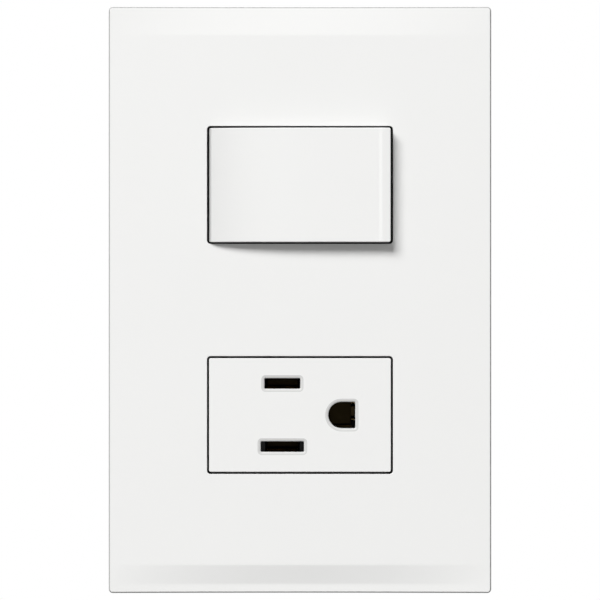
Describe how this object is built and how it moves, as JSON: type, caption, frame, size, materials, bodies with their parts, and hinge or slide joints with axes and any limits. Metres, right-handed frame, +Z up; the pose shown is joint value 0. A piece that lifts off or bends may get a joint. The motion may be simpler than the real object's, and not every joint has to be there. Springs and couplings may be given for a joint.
{
  "type": "switch and socket combination",
  "caption": "Upright white wall plate with a broad rocker switch above an earthed flat-blade socket, clipped over a support frame that screws to a wall box.",
  "frame": {"origin": "centre of the support frame's rear face on its middle bridge, in the wall plane, midway between the two box screws", "axes": "+Z up the plate, +X to the right as seen from the front, +Y into the wall; the front faces -Y"},
  "size_m": [0.077, 0.0321, 0.118],
  "materials": {
    "white_plastic": "fine satin moulded white",
    "frame_resin": "matt moulded black",
    "body_resin": "matt moulded dark grey",
    "brass_strip": "stamped strip",
    "zinc_steel": "zinc plated",
    "silver_contact": "satin silver alloy",
    "amber_resin": "self-lubricating resin"
  },
  "bodies": {
    "base": {"cover_plate": "white_plastic", "support_frame": "frame_resin", "mounting_screw_top": "zinc_steel", "mounting_screw_bottom": "zinc_steel", "switch_body": "body_resin", "common_terminal": "brass_strip", "fixed_terminal": "brass_strip", "fixed_contact_tip": "silver_contact", "switch_common_clamp_plate": "zinc_steel", "switch_common_terminal_screw": "brass_strip", "switch_load_clamp_plate": "zinc_steel", "switch_load_terminal_screw": "brass_strip", "socket_face": "white_plastic", "socket_base": "body_resin", "line_contact": "brass_strip", "neutral_contact": "brass_strip", "earth_contact": "brass_strip", "socket_line_clamp_plate": "zinc_steel", "socket_line_terminal_screw": "brass_strip", "socket_neutral_clamp_plate": "zinc_steel", "socket_neutral_terminal_screw": "brass_strip", "socket_earth_clamp_plate": "zinc_steel", "socket_earth_terminal_screw": "brass_strip", "socket_screw_left": "zinc_steel", "socket_screw_upper_right": "zinc_steel", "socket_screw_lower_right": "zinc_steel"},
    "rocker": {"switch_rocker": "white_plastic", "rocker_plunger": "amber_resin", "plunger_spring": "zinc_steel"},
    "see_saw": {"moving_contact": "brass_strip", "moving_contact_tip": "silver_contact"}
  },
  "joints": [
    {"name": "rocker_tilt", "type": "hinge", "parent": "base", "child": "rocker", "pos_m": [0, -0.0066, 0.02315], "axis": [0, 0, 1], "range_deg": [0, 9]},
    {"name": "contact_see_saw", "type": "hinge", "parent": "base", "child": "see_saw", "pos_m": [0, 0.007, 0.02315], "axis": [0, 0, 1], "range_deg": [-13.5, 0]}
  ],
  "couplings": [
    {"joint": "contact_see_saw", "follows": "rocker_tilt", "ratio": -1.5}
  ]
}
